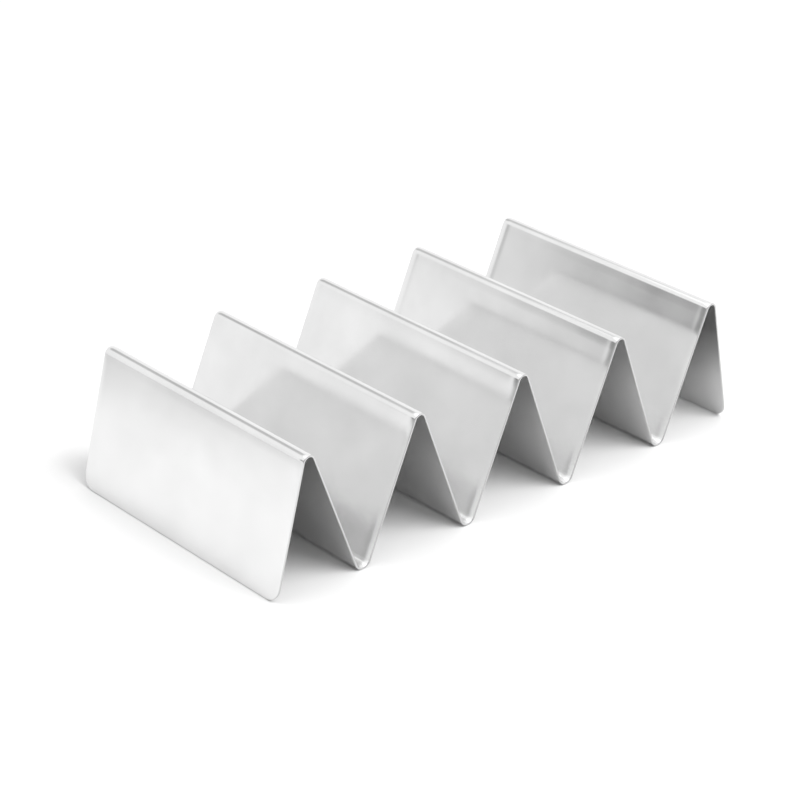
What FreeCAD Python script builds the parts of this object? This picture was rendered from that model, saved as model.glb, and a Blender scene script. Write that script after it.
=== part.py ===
import FreeCAD, Part
import math
import os

# Taco holder: one stainless sheet folded into a row of open channels.
# X runs along the row, Y along the folds and Z up. The origin is on the table,
# under the middle of the holder.

# Driving sizes, in millimetres
fold_length = 102.0            # width of the sheet, along every fold
channel_pitch = 45.5           # from one top fold to the next
channel_count = 4              # open channels between the top folds
holder_height = 48.0           # table to the crest of the top folds
sheet_thickness = 0.8
crest_inside_radius = 1.8      # inside of the bend at each top fold
trough_inside_radius = 2.6     # inside of the bend at each bottom fold
foot_spread = 12.4             # outer crest's centre out to where the foot touches the table
foot_corner_radius = 5.2       # rounded lower corners of the two end legs
edge_bevel = 0.2               # cut edges, broken all round

# Worked out from them
half_thickness = sheet_thickness / 2
crest_z = holder_height - crest_inside_radius - sheet_thickness
trough_z = trough_inside_radius + sheet_thickness
bend_count = 2 * channel_count + 1
CREST, TROUGH = 1, -1


def point(x, z):
    """A point of the section, on the sheet's front cut face."""
    return FreeCAD.Vector(x, -fold_length / 2, z)


def bends():
    """Centre, middle radius and kind of each bend from left to right, crests and troughs in turn."""
    row = []
    for index in range(bend_count):
        x = (index - channel_count) * channel_pitch / 2
        if index % 2 == 0:
            row.append((point(x, crest_z), crest_inside_radius + half_thickness, CREST))
        else:
            row.append((point(x, trough_z), trough_inside_radius + half_thickness, TROUGH))
    return row


def channel_wall_lean():
    """Angle from upright of a wall that runs from a crest to a trough, tangent to both bends."""
    across, down = channel_pitch / 2, crest_z - trough_z
    both_radii = crest_inside_radius + trough_inside_radius + sheet_thickness
    return math.atan2(across, down) - math.asin(both_radii / math.hypot(across, down))


def end_leg():
    """Lean from upright and straight length of an end leg, which stands on its inside lower edge."""
    standing_offset = crest_inside_radius + edge_bevel
    reach = math.hypot(foot_spread, crest_z)
    lean = math.atan2(foot_spread, crest_z) - math.asin(standing_offset / reach)
    return lean, math.sqrt(reach ** 2 - standing_offset ** 2)


def leg_direction(index):
    """Direction of a leg, travelling along the section from the left foot to the right one."""
    is_end = index in (0, bend_count)
    lean = end_leg()[0] if is_end else channel_wall_lean()
    rise = 1 if index % 2 == 0 else -1
    return FreeCAD.Vector(math.sin(lean), 0, rise * math.cos(lean))


def upper_normal(direction):
    """Unit normal of a leg, on the side that becomes the top of a crest."""
    return FreeCAD.Vector(-direction.z, 0, direction.x)


def sheet_side(offset):
    """Edges of one side of the sheet, left foot to right foot, at an offset from its middle."""
    up = FreeCAD.Vector(0, 0, 1)
    row = bends()
    normals = [upper_normal(leg_direction(index)) for index in range(bend_count + 1)]
    foot_run = leg_direction(0) * end_leg()[1]
    end_run = leg_direction(bend_count) * end_leg()[1]
    edges = []
    here = row[0][0] + normals[0] * (row[0][1] + offset) - foot_run
    for index, (centre, radius, kind) in enumerate(row):
        reach = kind * radius + offset
        arc_start = centre + normals[index] * reach
        arc_end = centre + normals[index + 1] * reach
        edges.append(Part.LineSegment(here, arc_start).toShape())
        edges.append(Part.Arc(arc_start, centre + up * reach, arc_end).toShape())
        here = arc_end
    edges.append(Part.LineSegment(here, here + end_run).toShape())
    return edges


def joined(first, second):
    """Straight edge between two points."""
    return Part.LineSegment(first, second).toShape()


def folded_strip():
    """The sheet folded to its section, with square cut edges."""
    top = sheet_side(half_thickness)
    underside = sheet_side(-half_thickness)
    left_cut = joined(underside[0].firstVertex().Point, top[0].firstVertex().Point)
    right_cut = joined(top[-1].lastVertex().Point, underside[-1].lastVertex().Point)
    outline = Part.Wire(Part.__sortEdges__(top + [right_cut] + underside + [left_cut]))
    return Part.Face(outline).extrude(FreeCAD.Vector(0, fold_length, 0))


def through_edges(solid):
    """Straight edges that run square through the sheet at the two feet."""
    foot_normals = [upper_normal(leg_direction(index)) for index in (0, bend_count)]
    found = []
    for edge in solid.Edges:
        run = edge.lastVertex().Point - edge.firstVertex().Point
        if edge.Curve.TypeId != "Part::GeomLine" or run.Length == 0:
            continue
        if any(run.cross(normal).Length < 1e-6 * run.Length for normal in foot_normals):
            found.append(edge)
    return found


def cut_outline(solid):
    """Every edge where a cut face of the sheet meets its top or its underside."""
    seams = through_edges(solid)
    outline = []
    for face in solid.Faces:
        if any(edge.isSame(seam) for edge in face.Edges for seam in seams):
            outline += [edge for edge in face.Edges if not any(edge.isSame(seam) for seam in seams)]
    return outline


def folded_sheet():
    """The finished holder: feet with rounded corners and all cut edges broken."""
    strip = folded_strip()
    rounded = strip.makeFillet(foot_corner_radius, through_edges(strip))
    return rounded.makeChamfer(edge_bevel, cut_outline(rounded)).Solids[0]


os.makedirs("parts", exist_ok=True)
sheet = folded_sheet()
sheet.exportStep("parts/folded_sheet.step")
box = sheet.optimalBoundingBox()
print("folded_sheet", sheet.ShapeType, "valid", sheet.isValid(), "volume", round(sheet.Volume, 1))
print("size", round(box.XLength, 2), round(box.YLength, 2), round(box.ZLength, 2), "lowest", round(box.ZMin, 4))
print("wall lean", round(math.degrees(channel_wall_lean()), 2), "end leg", round(math.degrees(end_leg()[0]), 2))
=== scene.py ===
import bpy
import math
from mathutils import Matrix, Vector


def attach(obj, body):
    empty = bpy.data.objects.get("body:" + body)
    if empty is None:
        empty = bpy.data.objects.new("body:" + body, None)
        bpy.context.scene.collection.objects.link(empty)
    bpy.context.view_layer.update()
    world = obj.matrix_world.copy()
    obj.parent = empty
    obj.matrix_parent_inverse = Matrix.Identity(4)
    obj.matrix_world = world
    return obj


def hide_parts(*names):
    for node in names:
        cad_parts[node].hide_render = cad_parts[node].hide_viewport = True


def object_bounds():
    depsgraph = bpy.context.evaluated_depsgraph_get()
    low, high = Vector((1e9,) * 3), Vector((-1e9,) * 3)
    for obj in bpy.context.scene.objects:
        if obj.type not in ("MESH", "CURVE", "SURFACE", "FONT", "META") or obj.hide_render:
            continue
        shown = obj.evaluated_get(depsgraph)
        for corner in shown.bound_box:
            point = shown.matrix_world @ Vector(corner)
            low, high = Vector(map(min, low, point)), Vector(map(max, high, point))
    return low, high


# Taco holder in a pale studio. The sheet is made as a flat blank with rounded feet and worked
# edges, then folded along its fold line. Sizes are in metres, in the frame of the CAD part:
# X along the row of channels, Y along the folds, Z up.

MM = 0.001

# Driving sizes of the holder; its height and the length of its folds come from the frame
CHANNELS = 4
CHANNEL_PITCH = 45.5 * MM
SHEET_THICKNESS = 0.8 * MM
CREST_INSIDE_RADIUS = 1.8 * MM
TROUGH_INSIDE_RADIUS = 2.6 * MM
FOOT_SPREAD = 12.4 * MM
FOOT_CORNER_RADIUS = 5.2 * MM
CUT_EDGE_RADIUS = 0.2 * MM

# How the worked sheet departs from a perfect one
RIM_WIDTH = 2.2 * MM           # margin beside every cut edge, rolled over on the upper side by blanking
RIM_DROP = 0.16 * MM           # how far that margin has sunk at the edge
MARGIN_WIDTH = 4.0 * MM        # side margins of the legs, lifted by folding
MARGIN_RISE = 0.035 * MM
WAVE_LENGTH = 38 * MM          # slow waves left in the legs by folding
WAVE_HEIGHT = 0.05 * MM
WAVE_SEED = 3.0
CALM_LENGTH = 15 * MM          # stretch beside each foot over which waves and margins die out

# How finely it is meshed
BEND_STEPS = 24
LEG_STEP = 2.8 * MM
RIM_STEPS = 12
RIM_CROWDING = 2.2             # how strongly the rim's steps crowd towards the cut edge
WIDTH_STEPS = 24
WELD = 0.002 * MM

# Camera, from matching the folds and feet with the reference picture of 810 by 810 pixels
PICTURE_SIDE = 810
FOCAL_PIXELS = 2536.2
SENSOR_WIDTH = 36.0
CAMERA_TURN = math.radians(-42.635)
CAMERA_RISE = math.radians(26.099)
CAMERA_ROLL = math.radians(1.600)
CAMERA_DISTANCE = 853.44 * MM
CAMERA_TARGET = Vector((-13.506, -8.828, 25.0)) * MM

# Tones of the steel and the floor, as the share of light that they send back
STEEL_TONE = 0.78
CUT_EDGE_TONE = 0.58
FLOOR_TONE = 0.77
# Painted shade: in a soft round to the left behind the holder, the floor's colour darkens towards this tone.
# It stands in for the studio light falling off there, and the left end leg mirrors it.
PAINTED_SHADE_TONE = 0.60
PAINTED_SHADE_CENTRE = Vector((-380, 300, 0)) * MM    # soft shade on the floor, to the left behind the holder
PAINTED_SHADE_FULL_RADIUS = 90 * MM
PAINTED_SHADE_END_RADIUS = 230 * MM

# Brightness of the studio, where 1 is the white of the picture
WALL_LIGHT = 1.09
GAP_LIGHT = 0.58
OVERHEAD_LIGHT = 1.5
SOFT_BOX_LIGHT = 1.12
FLAG_LIGHT = 0.3
FRONT_LIGHT = 0.55

# Soft lamp over the floor
KEY_POWER = 18.2
KEY_WIDTH = 1.1
KEY_DEPTH = 0.8
KEY_DISTANCE = 1.5
KEY_HEADING = math.radians(284)
KEY_RISE = math.radians(53)

CREST, TROUGH = 1, -1
BENDS = 2 * CHANNELS + 1


# Node helpers


def fill(tree, socket, value):
    """Links an output to a socket, or gives the socket a plain value."""
    if isinstance(value, bpy.types.NodeSocket):
        tree.links.new(value, socket)
    else:
        socket.default_value = value


def node(tree, kind, feeds=None, **settings):
    """Adds a node, sets its properties, then fills its sockets by name or number."""
    made = tree.nodes.new(kind)
    for name, value in settings.items():
        setattr(made, name, value)
    for key, value in (feeds or {}).items():
        fill(tree, made.inputs[key], value)
    return made


def calc(tree, operation, *values):
    """Result of one Math node."""
    return node(tree, "ShaderNodeMath", dict(enumerate(values)), operation=operation).outputs[0]


def vector_calc(tree, operation, *values):
    """Vector result of one Vector Math node."""
    made = node(tree, "ShaderNodeVectorMath", dict(enumerate(values)), operation=operation)
    return made.outputs["Vector"]


def length_of(tree, vector):
    return node(tree, "ShaderNodeVectorMath", {0: vector}, operation="LENGTH").outputs["Value"]


def axes(tree, vector):
    """The three numbers of a vector."""
    return node(tree, "ShaderNodeSeparateXYZ", {0: vector}).outputs[:]


def joined_axes(tree, x, y, z):
    return node(tree, "ShaderNodeCombineXYZ", {0: x, 1: y, 2: z}).outputs[0]


def pick(tree, condition, when_true, when_false):
    """One of two numbers, by a condition that is 1 or 0."""
    gap = calc(tree, "SUBTRACT", when_true, when_false)
    return calc(tree, "MULTIPLY_ADD", gap, condition, when_false)


def noise(tree, place, scale, detail):
    """Soft random pattern round one half, with about this many waves to a unit of place."""
    pattern = node(tree, "ShaderNodeTexNoise", {"Vector": place, "Scale": scale, "Detail": detail})
    return pattern.outputs["Fac"]


def smooth_step(tree, value, low, high, at_low=0.0, at_high=1.0):
    """Smooth ramp of a number between two limits."""
    ramp = node(tree, "ShaderNodeMapRange", {0: value, 1: low, 2: high, 3: at_low, 4: at_high},
                interpolation_type="SMOOTHSTEP")
    return ramp.outputs[0]


# The fold line


def upper_normal(direction):
    """Unit normal of a leg, on the side that becomes the top of a crest."""
    return Vector((-direction.z, 0, direction.x))


def fold_bends(height):
    """Centre, middle radius and kind of each bend from left to right, crests and troughs in turn."""
    row = []
    for index in range(BENDS):
        x = (index - CHANNELS) * CHANNEL_PITCH / 2
        if index % 2 == 0:
            centre = Vector((x, 0, height - CREST_INSIDE_RADIUS - SHEET_THICKNESS))
            row.append((centre, CREST_INSIDE_RADIUS + SHEET_THICKNESS / 2, CREST))
        else:
            centre = Vector((x, 0, TROUGH_INSIDE_RADIUS + SHEET_THICKNESS))
            row.append((centre, TROUGH_INSIDE_RADIUS + SHEET_THICKNESS / 2, TROUGH))
    return row


def leg_directions(height):
    """Direction of each leg from left to right, and the straight length of the two end legs."""
    crest_z = height - CREST_INSIDE_RADIUS - SHEET_THICKNESS
    across, down = CHANNEL_PITCH / 2, crest_z - TROUGH_INSIDE_RADIUS - SHEET_THICKNESS
    both_radii = CREST_INSIDE_RADIUS + TROUGH_INSIDE_RADIUS + SHEET_THICKNESS
    wall_lean = math.atan2(across, down) - math.asin(both_radii / math.hypot(across, down))
    standing_offset = CREST_INSIDE_RADIUS + CUT_EDGE_RADIUS
    reach = math.hypot(FOOT_SPREAD, crest_z)
    end_lean = math.atan2(FOOT_SPREAD, crest_z) - math.asin(standing_offset / reach)
    directions = []
    for index in range(BENDS + 1):
        lean = end_lean if index in (0, BENDS) else wall_lean
        rise = 1 if index % 2 == 0 else -1
        directions.append(Vector((math.sin(lean), 0, rise * math.cos(lean))))
    return directions, math.sqrt(reach ** 2 - standing_offset ** 2)


def fold_line(height):
    """Middle line of the sheet with every bend still a sharp corner, as a mesh of edges. Each point
    carries the radius that its bend gets, and a point on each end leg marks where its foot starts."""
    bends = fold_bends(height)
    directions, end_length = leg_directions(height)
    normals = [upper_normal(direction) for direction in directions]
    first_centre, first_radius, _ = bends[0]
    last_centre, last_radius, _ = bends[-1]
    left_foot = first_centre + normals[0] * first_radius - directions[0] * end_length
    right_foot = last_centre + normals[-1] * last_radius + directions[-1] * end_length

    points = [left_foot, left_foot + directions[0] * FOOT_CORNER_RADIUS]
    radii = [0.0, 0.0]
    for index, (centre, radius, kind) in enumerate(bends):
        before, after = normals[index], normals[index + 1]
        points.append(centre + kind * radius * (before + after) / (1 + before.dot(after)))
        radii.append(radius)
    points += [right_foot - directions[-1] * FOOT_CORNER_RADIUS, right_foot]
    radii += [0.0, 0.0]

    mesh = bpy.data.meshes.new("fold_line")
    mesh.from_pydata(points, [(i, i + 1) for i in range(len(points) - 1)], [])
    mesh.attributes.new("bend_radius", "FLOAT", "POINT").data.foreach_set("value", radii)
    line = bpy.data.objects.new("fold_line", mesh)
    bpy.context.scene.collection.objects.link(line)
    return line


# The sheet, as a node tree that lays out a flat blank and folds it

SHEET_INPUTS = [
    ("Fold length", "NodeSocketFloat"),
    ("Thickness", "NodeSocketFloat"),
    ("Foot corner radius", "NodeSocketFloat"),
    ("Cut edge radius", "NodeSocketFloat"),
    ("Rim width", "NodeSocketFloat"),
    ("Rim drop", "NodeSocketFloat"),
    ("Margin width", "NodeSocketFloat"),
    ("Margin rise", "NodeSocketFloat"),
    ("Wave length", "NodeSocketFloat"),
    ("Wave height", "NodeSocketFloat"),
    ("Wave seed", "NodeSocketFloat"),
    ("Calm length", "NodeSocketFloat"),
    ("Bend steps", "NodeSocketInt"),
    ("Leg step", "NodeSocketFloat"),
    ("Rim steps", "NodeSocketInt"),
    ("Rim crowding", "NodeSocketFloat"),
    ("Width steps", "NodeSocketInt"),
    ("Finish", "NodeSocketMaterial"),
]


def rounded_fold_line(tree, sizes, line):
    """Fold line with its bends rounded, and with points at every place where the sheet gets a row."""
    curve = node(tree, "GeometryNodeMeshToCurve", {"Mesh": line}).outputs[0]
    radius = node(tree, "GeometryNodeInputNamedAttribute", {"Name": "bend_radius"}, data_type="FLOAT")
    bent = node(tree, "GeometryNodeFilletCurve",
                {"Curve": curve, "Count": sizes["Bend steps"], "Radius": radius.outputs[0]},
                mode="POLY").outputs[0]

    here = node(tree, "GeometryNodeInputPosition").outputs[0]
    own_index = node(tree, "GeometryNodeInputIndex").outputs[0]
    following = node(tree, "GeometryNodeFieldAtIndex",
                     {"Index": calc(tree, "ADD", own_index, 1), "Value": here},
                     data_type="FLOAT_VECTOR", domain="POINT").outputs[0]
    run = length_of(tree, vector_calc(tree, "SUBTRACT", following, here))
    leg_cuts = calc(tree, "FLOOR", calc(tree, "DIVIDE", run, sizes["Leg step"]))
    foot = node(tree, "GeometryNodeCurveEndpointSelection", {"Start Size": 1, "End Size": 2}).outputs[0]
    rim_cuts = calc(tree, "SUBTRACT", sizes["Rim steps"], 1)
    return node(tree, "GeometryNodeSubdivideCurve",
                {"Curve": bent, "Cuts": pick(tree, foot, rim_cuts, leg_cuts)}).outputs[0]


def crowded(tree, sizes, inset):
    """Moves even steps inside the foot corner radius towards the cut edge."""
    radius = sizes["Foot corner radius"]
    share = calc(tree, "DIVIDE", calc(tree, "MINIMUM", inset, radius), radius)
    near = calc(tree, "MULTIPLY", calc(tree, "POWER", share, sizes["Rim crowding"]), radius)
    beyond = calc(tree, "MAXIMUM", calc(tree, "SUBTRACT", inset, radius), 0.0)
    return calc(tree, "ADD", near, beyond)


def length_stops(tree, sizes, rounded, sheet_length):
    """The fold line pulled straight along X, from 0 to the length of the blank."""
    travelled = node(tree, "GeometryNodeSplineParameter").outputs["Length"]
    to_go = calc(tree, "SUBTRACT", sheet_length, travelled)
    inset = crowded(tree, sizes, calc(tree, "MINIMUM", travelled, to_go))
    first_half = calc(tree, "LESS_THAN", travelled, to_go)
    along = pick(tree, first_half, inset, calc(tree, "SUBTRACT", sheet_length, inset))
    return node(tree, "GeometryNodeSetPosition",
                {"Geometry": rounded, "Position": joined_axes(tree, along, 0.0, 0.0)}).outputs[0]


def width_stops(tree, sizes):
    """Line across the blank, with crowded steps in both margins and even steps between them."""
    rim_steps, width_steps = sizes["Rim steps"], sizes["Width steps"]
    steps = calc(tree, "MULTIPLY_ADD", rim_steps, 2.0, width_steps)
    stops = calc(tree, "ADD", steps, 1)
    line = node(tree, "GeometryNodeMeshLine", {"Count": stops}, mode="OFFSET").outputs[0]
    index = node(tree, "GeometryNodeInputIndex").outputs[0]
    nearer = calc(tree, "MINIMUM", index, calc(tree, "SUBTRACT", steps, index))
    rim_step = calc(tree, "DIVIDE", sizes["Foot corner radius"], rim_steps)
    middle = calc(tree, "MULTIPLY_ADD", sizes["Foot corner radius"], -2.0, sizes["Fold length"])
    middle_step = calc(tree, "DIVIDE", middle, width_steps)
    in_rim = calc(tree, "MULTIPLY", calc(tree, "MINIMUM", nearer, rim_steps), rim_step)
    in_middle = calc(tree, "MAXIMUM", calc(tree, "SUBTRACT", nearer, rim_steps), 0.0)
    inset = crowded(tree, sizes, calc(tree, "MULTIPLY_ADD", in_middle, middle_step, in_rim))
    half_width = calc(tree, "MULTIPLY", sizes["Fold length"], 0.5)
    side = calc(tree, "SIGN", calc(tree, "SUBTRACT", calc(tree, "MULTIPLY", index, 2.0), steps))
    across = calc(tree, "MULTIPLY", side, calc(tree, "SUBTRACT", half_width, inset))
    placed = node(tree, "GeometryNodeSetPosition",
                  {"Geometry": line, "Position": joined_axes(tree, across, 0.0, 0.0)}).outputs[0]
    return node(tree, "GeometryNodeMeshToCurve", {"Mesh": placed}).outputs[0]


def corner_insets(tree, sizes, sheet_length):
    """How far a point of the flat blank lies past the corner arcs' centres, along X and along Y."""
    along, across, _ = axes(tree, node(tree, "GeometryNodeInputPosition").outputs[0])
    radius = sizes["Foot corner radius"]
    from_foot = calc(tree, "MINIMUM", along, calc(tree, "SUBTRACT", sheet_length, along))
    from_side = calc(tree, "SUBTRACT", calc(tree, "MULTIPLY", sizes["Fold length"], 0.5),
                     calc(tree, "ABSOLUTE", across))
    past_along = calc(tree, "MAXIMUM", calc(tree, "SUBTRACT", radius, from_foot), 0.0)
    past_across = calc(tree, "MAXIMUM", calc(tree, "SUBTRACT", radius, from_side), 0.0)
    return along, across, past_along, past_across


def rounded_corners(tree, sizes, blank, sheet_length):
    """Turns the square corners of the blank into quarter rounds, ring by ring."""
    along, across, past_along, past_across = corner_insets(tree, sizes, sheet_length)
    ring = calc(tree, "MAXIMUM", past_along, past_across)
    lesser = calc(tree, "MINIMUM", past_along, past_across)
    share = calc(tree, "DIVIDE", lesser, calc(tree, "MAXIMUM", ring, WELD))
    angle = calc(tree, "MULTIPLY", share, math.pi / 4)
    major = calc(tree, "MULTIPLY", ring, calc(tree, "COSINE", angle))
    minor = calc(tree, "MULTIPLY", ring, calc(tree, "SINE", angle))
    foot_side = calc(tree, "GREATER_THAN", past_along, past_across)
    new_along = pick(tree, foot_side, major, minor)
    new_across = pick(tree, foot_side, minor, major)
    to_foot = calc(tree, "SIGN", calc(tree, "SUBTRACT", along, calc(tree, "MULTIPLY", sheet_length, 0.5)))
    shift_along = calc(tree, "MULTIPLY", calc(tree, "SUBTRACT", new_along, past_along), to_foot)
    shift_across = calc(tree, "MULTIPLY", calc(tree, "SUBTRACT", new_across, past_across),
                        calc(tree, "SIGN", across))
    return node(tree, "GeometryNodeSetPosition",
                {"Geometry": blank, "Offset": joined_axes(tree, shift_along, shift_across, 0.0)}).outputs[0]


def outline_distance(tree, sizes, sheet_length):
    """Distance of a point of the blank from its outline, up to the foot corner radius."""
    _, _, past_along, past_across = corner_insets(tree, sizes, sheet_length)
    past = length_of(tree, joined_axes(tree, past_along, past_across, 0.0))
    distance = calc(tree, "SUBTRACT", sizes["Foot corner radius"], past)
    return calc(tree, "MULTIPLY", distance, calc(tree, "GREATER_THAN", distance, WELD))


def half_thickness(tree, sizes, distance, rim_drop):
    """Half of the sheet's thickness at a distance from its cut edge, on a side with this much rollover."""
    radius = sizes["Cut edge radius"]
    inside = calc(tree, "MAXIMUM", calc(tree, "SUBTRACT", radius, distance), 0.0)
    squares = calc(tree, "SUBTRACT",
                   calc(tree, "MULTIPLY", radius, radius),
                   calc(tree, "MULTIPLY", inside, inside))
    rounding = calc(tree, "SUBTRACT", radius, calc(tree, "SQRT", squares))
    share = calc(tree, "MINIMUM", calc(tree, "DIVIDE", distance, sizes["Rim width"]), 1.0)
    to_go = calc(tree, "SUBTRACT", 1.0, share)
    rollover = calc(tree, "MULTIPLY", rim_drop, calc(tree, "POWER", to_go, 2.0))
    full = calc(tree, "MULTIPLY", sizes["Thickness"], 0.5)
    return calc(tree, "SUBTRACT", calc(tree, "SUBTRACT", full, rounding), rollover)


def thick_blank(tree, sizes, flat, sheet_length):
    """The flat blank with a top, an underside and the cut wall between them, welded into one skin."""
    distance = outline_distance(tree, sizes, sheet_length)
    upper_half = half_thickness(tree, sizes, distance, sizes["Rim drop"])
    lower_half = half_thickness(tree, sizes, distance, 0.0)
    edge_height = calc(tree, "ADD", half_thickness(tree, sizes, 0.0, sizes["Rim drop"]),
                       half_thickness(tree, sizes, 0.0, 0.0))
    top = node(tree, "GeometryNodeSetPosition",
               {"Geometry": flat, "Offset": joined_axes(tree, 0.0, 0.0, upper_half)}).outputs[0]
    faces = node(tree, "GeometryNodeInputMeshEdgeNeighbors").outputs[0]
    outline = calc(tree, "COMPARE", faces, 1.0, 0.1)
    down_the_cut = joined_axes(tree, 0.0, 0.0, calc(tree, "MULTIPLY", edge_height, -1.0))
    walled = node(tree, "GeometryNodeExtrudeMesh",
                  {"Mesh": top, "Selection": outline, "Offset": down_the_cut, "Offset Scale": 1.0},
                  mode="EDGES").outputs[0]
    turned = node(tree, "GeometryNodeFlipFaces", {"Mesh": flat}).outputs[0]
    below = joined_axes(tree, 0.0, 0.0, calc(tree, "MULTIPLY", lower_half, -1.0))
    underside = node(tree, "GeometryNodeSetPosition", {"Geometry": turned, "Offset": below}).outputs[0]
    both = node(tree, "GeometryNodeJoinGeometry", {"Geometry": underside})
    tree.links.new(walled, both.inputs[0])
    welded = node(tree, "GeometryNodeMergeByDistance", {"Geometry": both.outputs[0], "Distance": WELD})
    return welded.outputs[0]


def with_blank_coordinates(tree, sizes, blank, sheet_length):
    """Keeps each point's place on the flat blank and its distance from the cut edge, for the finish."""
    place = node(tree, "GeometryNodeInputPosition").outputs[0]
    mapped = node(tree, "GeometryNodeStoreNamedAttribute",
                  {"Geometry": blank, "Name": "blank", "Value": place},
                  data_type="FLOAT2", domain="CORNER").outputs[0]
    distance = outline_distance(tree, sizes, sheet_length)
    return node(tree, "GeometryNodeStoreNamedAttribute",
                {"Geometry": mapped, "Name": "from_edge", "Value": distance},
                data_type="FLOAT", domain="POINT").outputs[0]


def slow_wave(tree, sizes, along, across):
    """Waves of the sheet, as a height above its plane."""
    place = joined_axes(tree, along, across, sizes["Wave seed"])
    waves = noise(tree, place, calc(tree, "DIVIDE", 1.0, sizes["Wave length"]), 1.0)
    return calc(tree, "MULTIPLY", calc(tree, "SUBTRACT", waves, 0.5), sizes["Wave height"])


def side_margin(tree, sizes, across):
    """Rise of the sheet towards its two long sides, which levels off halfway across the margin."""
    from_side = calc(tree, "SUBTRACT", calc(tree, "MULTIPLY", sizes["Fold length"], 0.5),
                     calc(tree, "ABSOLUTE", across))
    level_from = calc(tree, "MULTIPLY", sizes["Margin width"], 0.5)
    return smooth_step(tree, from_side, level_from, sizes["Margin width"], sizes["Margin rise"], 0.0)


def leg_unevenness(tree, sizes, place, tangent_rise, sheet_length):
    """Waves and lifted margins of the legs, which die out at the bends and towards the feet."""
    along, across, _ = axes(tree, place)
    height = calc(tree, "ADD", slow_wave(tree, sizes, along, across), side_margin(tree, sizes, across))
    on_leg = calc(tree, "MULTIPLY", tangent_rise, tangent_rise)
    from_foot = calc(tree, "MINIMUM", along, calc(tree, "SUBTRACT", sheet_length, along))
    off_foot = smooth_step(tree, from_foot, 0.0, sizes["Calm length"])
    return calc(tree, "MULTIPLY", calc(tree, "MULTIPLY", height, on_leg), off_foot)


def folded(tree, sizes, blank, rounded, sheet_length):
    """Carries the flat blank onto the fold line, each point at its own length along it."""
    place = node(tree, "GeometryNodeInputPosition").outputs[0]
    along, across, up = axes(tree, place)
    sample = node(tree, "GeometryNodeSampleCurve", {"Curves": rounded, "Length": along}, mode="LENGTH")
    run, _, rise = axes(tree, sample.outputs["Tangent"])
    normal = joined_axes(tree, calc(tree, "MULTIPLY", rise, -1.0), 0.0, run)
    offset = calc(tree, "ADD", up, leg_unevenness(tree, sizes, place, rise, sheet_length))
    stand_off = node(tree, "ShaderNodeVectorMath", {0: normal, "Scale": offset}, operation="SCALE")
    folded_place = vector_calc(tree, "ADD", sample.outputs["Position"], stand_off.outputs["Vector"])
    final = vector_calc(tree, "ADD", folded_place, joined_axes(tree, 0.0, across, 0.0))
    return node(tree, "GeometryNodeSetPosition", {"Geometry": blank, "Position": final}).outputs[0]


def folded_sheet_tree():
    """Tree that turns a fold line into the finished sheet."""
    tree = bpy.data.node_groups.new("folded_sheet", "GeometryNodeTree")
    tree.interface.new_socket("Fold line", in_out="INPUT", socket_type="NodeSocketGeometry")
    for name, kind in SHEET_INPUTS:
        tree.interface.new_socket(name, in_out="INPUT", socket_type=kind)
    tree.interface.new_socket("Sheet", in_out="OUTPUT", socket_type="NodeSocketGeometry")
    sizes = node(tree, "NodeGroupInput").outputs

    rounded = rounded_fold_line(tree, sizes, sizes["Fold line"])
    sheet_length = node(tree, "GeometryNodeCurveLength", {"Curve": rounded}).outputs[0]
    flat = node(tree, "GeometryNodeCurveToMesh",
                {"Curve": length_stops(tree, sizes, rounded, sheet_length),
                 "Profile Curve": width_stops(tree, sizes)}).outputs[0]
    flat = rounded_corners(tree, sizes, flat, sheet_length)
    blank = thick_blank(tree, sizes, flat, sheet_length)
    blank = with_blank_coordinates(tree, sizes, blank, sheet_length)
    sheet = folded(tree, sizes, blank, rounded, sheet_length)

    smooth = node(tree, "GeometryNodeSetShadeSmooth", {"Geometry": sheet}).outputs[0]
    real = node(tree, "GeometryNodeRealizeInstances", {"Geometry": smooth}).outputs[0]
    finished = node(tree, "GeometryNodeSetMaterial", {"Geometry": real, "Material": sizes["Finish"]})
    node(tree, "NodeGroupOutput", {"Sheet": finished.outputs[0]})
    return tree


def set_inputs(modifier, values):
    """Gives the named inputs of a node modifier their values."""
    for item in modifier.node_group.interface.items_tree:
        if item.in_out == "INPUT" and item.name in values:
            modifier[item.identifier] = values[item.name]


def folded_sheet(fold_length, height, finish):
    """The holder's sheet as a plain mesh."""
    line = fold_line(height)
    modifier = line.modifiers.new("folded_sheet", "NODES")
    modifier.node_group = folded_sheet_tree()
    set_inputs(modifier, {
        "Fold length": fold_length,
        "Thickness": SHEET_THICKNESS,
        "Foot corner radius": FOOT_CORNER_RADIUS,
        "Cut edge radius": CUT_EDGE_RADIUS,
        "Rim width": RIM_WIDTH,
        "Rim drop": RIM_DROP,
        "Margin width": MARGIN_WIDTH,
        "Margin rise": MARGIN_RISE,
        "Wave length": WAVE_LENGTH,
        "Wave height": WAVE_HEIGHT,
        "Wave seed": WAVE_SEED,
        "Calm length": CALM_LENGTH,
        "Bend steps": BEND_STEPS,
        "Leg step": LEG_STEP,
        "Rim steps": RIM_STEPS,
        "Rim crowding": RIM_CROWDING,
        "Width steps": WIDTH_STEPS,
        "Finish": finish,
    })
    ready = line.evaluated_get(bpy.context.evaluated_depsgraph_get())
    mesh = bpy.data.meshes.new_from_object(ready)
    mesh.name = "folded_sheet_finish"
    bpy.data.objects.remove(line)
    sheet = bpy.data.objects.new("folded_sheet_finish", mesh)
    bpy.context.scene.collection.objects.link(sheet)
    return sheet


# Materials


def new_material(name):
    """A material with only a shader and an output, and its tree."""
    material = bpy.data.materials.new(name)
    material.use_nodes = True
    tree = material.node_tree
    tree.nodes.clear()
    shader = node(tree, "ShaderNodeBsdfPrincipled")
    node(tree, "ShaderNodeOutputMaterial", {"Surface": shader.outputs[0]})
    return material, tree, shader


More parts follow.
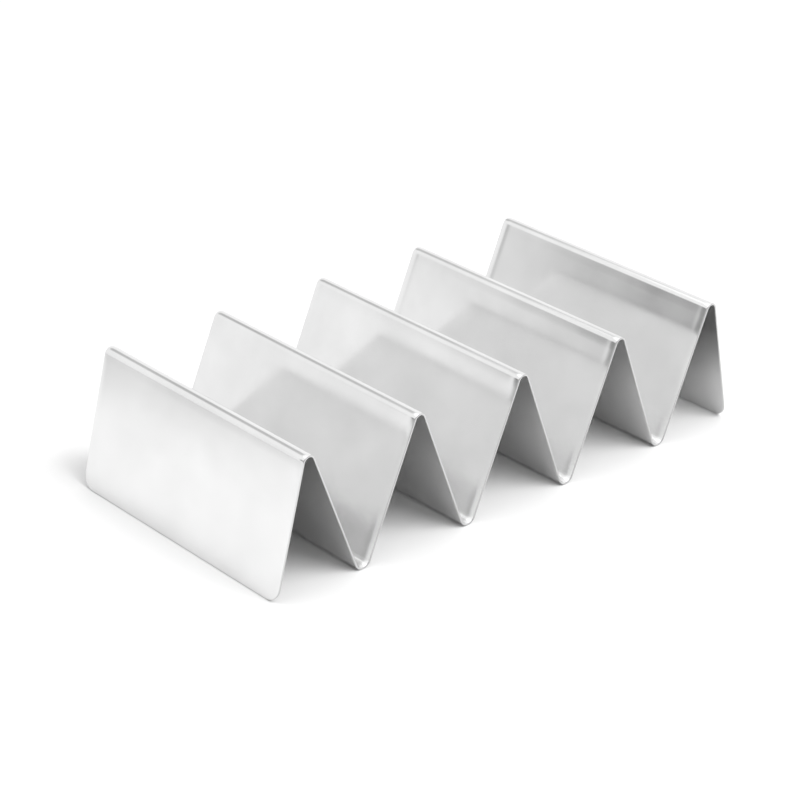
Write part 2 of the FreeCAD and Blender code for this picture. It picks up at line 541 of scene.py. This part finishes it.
def satin_stainless():
    """Neutral, smooth satin steel: a faint grain along the folds, soft clouds, handling marks and duller
    cut edges."""
    material, tree, shader = new_material("satin_stainless")
    shader.inputs["Metallic"].default_value = 1.0
    from_edge = node(tree, "ShaderNodeAttribute", attribute_name="from_edge").outputs["Fac"]
    clean_tone = smooth_step(tree, from_edge, 0.05 * MM, 0.3 * MM, CUT_EDGE_TONE, STEEL_TONE)
    place = node(tree, "ShaderNodeUVMap", uv_map="blank").outputs[0]
    clouds = noise(tree, place, 50.0, 4.0)
    tone = calc(tree, "MULTIPLY", clean_tone, calc(tree, "MULTIPLY_ADD", clouds, 0.18, 0.90))
    fill(tree, shader.inputs["Base Color"], joined_axes(tree, tone, tone, tone))
    along, across, _ = axes(tree, place)

    fine_along = calc(tree, "MULTIPLY", along, 9000.0)
    long_across = calc(tree, "MULTIPLY", across, 350.0)
    grain = noise(tree, joined_axes(tree, fine_along, long_across, 0.0), 1.0, 2.0)

    smudges = noise(tree, place, 45.0, 3.0)
    base = smooth_step(tree, smudges, 0.35, 0.65, 0.13, 0.165)
    roughness = calc(tree, "MULTIPLY_ADD", calc(tree, "SUBTRACT", grain, 0.5), 0.02, base)
    fill(tree, shader.inputs["Roughness"], roughness)

    bump = node(tree, "ShaderNodeBump", {"Height": grain, "Strength": 0.02, "Distance": 0.02 * MM})
    fill(tree, shader.inputs["Normal"], bump.outputs[0])
    return material


def studio_floor_finish():
    """Plain pale sweep with a round of painted shade to the left behind the holder, out of the picture:
    there the floor's colour darkens to stand in for the studio light falling off.
    """
    material, tree, shader = new_material("studio_floor")
    shader.inputs["Roughness"].default_value = 1.0
    shader.inputs["Specular IOR Level"].default_value = 0.0
    place = node(tree, "ShaderNodeTexCoord").outputs["Object"]
    # Painted shade: the floor colour darkens round a point to the left behind the holder, in place of light
    # falling off there.
    from_painted_shade = length_of(tree, vector_calc(tree, "SUBTRACT", place, PAINTED_SHADE_CENTRE))
    tone = smooth_step(tree, from_painted_shade, PAINTED_SHADE_FULL_RADIUS, PAINTED_SHADE_END_RADIUS, PAINTED_SHADE_TONE, FLOOR_TONE)
    fill(tree, shader.inputs["Base Color"], joined_axes(tree, tone, tone, tone))
    return material


# Studio


def studio_floor():
    """Wide floor under the holder."""
    half = 4.0
    corners = [(-half, -half, 0), (half, -half, 0), (half, half, 0), (-half, half, 0)]
    mesh = bpy.data.meshes.new("studio_floor")
    mesh.from_pydata(corners, [], [(0, 1, 2, 3)])
    floor = bpy.data.objects.new("studio_floor", mesh)
    floor.data.materials.append(studio_floor_finish())
    bpy.context.scene.collection.objects.link(floor)


def rise_band(tree, height, dark_degrees, full_degrees):
    """Ramp from 0 to 1 between two angles above the horizon."""
    low, high = math.sin(math.radians(dark_degrees)), math.sin(math.radians(full_degrees))
    if low < high:
        return smooth_step(tree, height, low, high)
    return smooth_step(tree, height, high, low, 1.0, 0.0)


def heading_band(tree, heading, middle_degrees, dark_degrees, full_degrees):
    """Ramp round a compass direction, 1 within one angle of it and 0 past another."""
    middle = math.radians(middle_degrees)
    toward_middle = Vector((math.cos(middle), math.sin(middle), 0))
    facing = node(tree, "ShaderNodeVectorMath", {0: heading, 1: toward_middle}, operation="DOT_PRODUCT")
    low, high = math.cos(math.radians(dark_degrees)), math.cos(math.radians(full_degrees))
    return smooth_step(tree, facing.outputs["Value"], low, high)


def studio_surroundings():
    """White walls, a dark gap above them, a bright ceiling, a soft box at the back right, a small grey
    flag at the back left and a dimmer front. Bands are in degrees above the horizon, and in degrees
    round from the X axis."""
    world = bpy.data.worlds.new("studio")
    bpy.context.scene.world = world
    world.use_nodes = True
    tree = world.node_tree
    tree.nodes.clear()
    toward = node(tree, "ShaderNodeTexCoord").outputs["Generated"]
    east, north, height = axes(tree, toward)
    heading = vector_calc(tree, "NORMALIZE", joined_axes(tree, east, north, 0.0))

    overhead = rise_band(tree, height, 48.5, 53.5)
    gap = calc(tree, "MULTIPLY", rise_band(tree, height, 35, 40), heading_band(tree, heading, 76, 36, 14))
    soft_box = calc(tree, "MULTIPLY",
                    rise_band(tree, height, 58, 50),
                    heading_band(tree, heading, 15, 60, 40))
    flag = calc(tree, "MULTIPLY", rise_band(tree, height, 9, 11), rise_band(tree, height, 26, 20))
    flag = calc(tree, "MULTIPLY", flag, heading_band(tree, heading, 150, 13, 8))
    front = calc(tree, "MULTIPLY", rise_band(tree, height, 65, 50), heading_band(tree, heading, 242, 95, 55))

    light = pick(tree, gap, GAP_LIGHT, WALL_LIGHT)
    light = pick(tree, overhead, OVERHEAD_LIGHT, light)
    light = pick(tree, soft_box, SOFT_BOX_LIGHT, light)
    light = pick(tree, flag, FLAG_LIGHT, light)
    light = pick(tree, front, FRONT_LIGHT, light)
    background = node(tree, "ShaderNodeBackground", {"Color": (1, 1, 1, 1), "Strength": light})
    node(tree, "ShaderNodeOutputWorld", {"Surface": background.outputs[0]})


def key_lamp():
    """Large soft lamp in front, a little to the right. It lights the floor and stays out of the steel's
    reflections."""
    data = bpy.data.lights.new("key_lamp", "AREA")
    data.shape = "RECTANGLE"
    data.size = KEY_WIDTH
    data.size_y = KEY_DEPTH
    data.energy = KEY_POWER
    lamp = bpy.data.objects.new("key_lamp", data)
    toward_lamp = Vector((math.cos(KEY_HEADING) * math.cos(KEY_RISE),
                          math.sin(KEY_HEADING) * math.cos(KEY_RISE),
                          math.sin(KEY_RISE)))
    lamp.location = toward_lamp * KEY_DISTANCE
    lamp.rotation_euler = toward_lamp.to_track_quat("Z", "Y").to_euler()
    lamp.visible_glossy = False
    bpy.context.scene.collection.objects.link(lamp)


def studio_camera():
    """Camera at the reference picture's angle."""
    back = Vector((math.sin(CAMERA_TURN) * math.cos(CAMERA_RISE),
                   -math.cos(CAMERA_TURN) * math.cos(CAMERA_RISE),
                   math.sin(CAMERA_RISE)))
    level_right = Vector((math.cos(CAMERA_TURN), math.sin(CAMERA_TURN), 0))
    level_up = back.cross(level_right)
    right = level_right * math.cos(CAMERA_ROLL) + level_up * math.sin(CAMERA_ROLL)
    up = level_up * math.cos(CAMERA_ROLL) - level_right * math.sin(CAMERA_ROLL)
    data = bpy.data.cameras.new("camera")
    data.sensor_width = SENSOR_WIDTH
    data.lens = FOCAL_PIXELS / PICTURE_SIDE * SENSOR_WIDTH
    data.clip_start = 0.01
    data.clip_end = 50
    camera = bpy.data.objects.new("camera", data)
    turn = Matrix((right, up, back)).transposed().to_4x4()
    camera.matrix_world = Matrix.Translation(CAMERA_TARGET + back * CAMERA_DISTANCE) @ turn
    bpy.context.scene.collection.objects.link(camera)
    bpy.context.scene.camera = camera


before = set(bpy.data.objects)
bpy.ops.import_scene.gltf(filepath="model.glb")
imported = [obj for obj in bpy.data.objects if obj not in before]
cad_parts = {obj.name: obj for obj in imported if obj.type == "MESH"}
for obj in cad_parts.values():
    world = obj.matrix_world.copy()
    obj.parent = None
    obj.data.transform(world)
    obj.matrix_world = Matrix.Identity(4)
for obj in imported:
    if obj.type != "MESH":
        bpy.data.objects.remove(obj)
cad_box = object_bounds()
lowest, highest = cad_box

sheet = folded_sheet(highest.y - lowest.y, highest.z, satin_stainless())
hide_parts("folded_sheet")
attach(sheet, "root")

studio_floor()
studio_surroundings()
key_lamp()
studio_camera()
bpy.context.scene.view_settings.view_transform = "Standard"
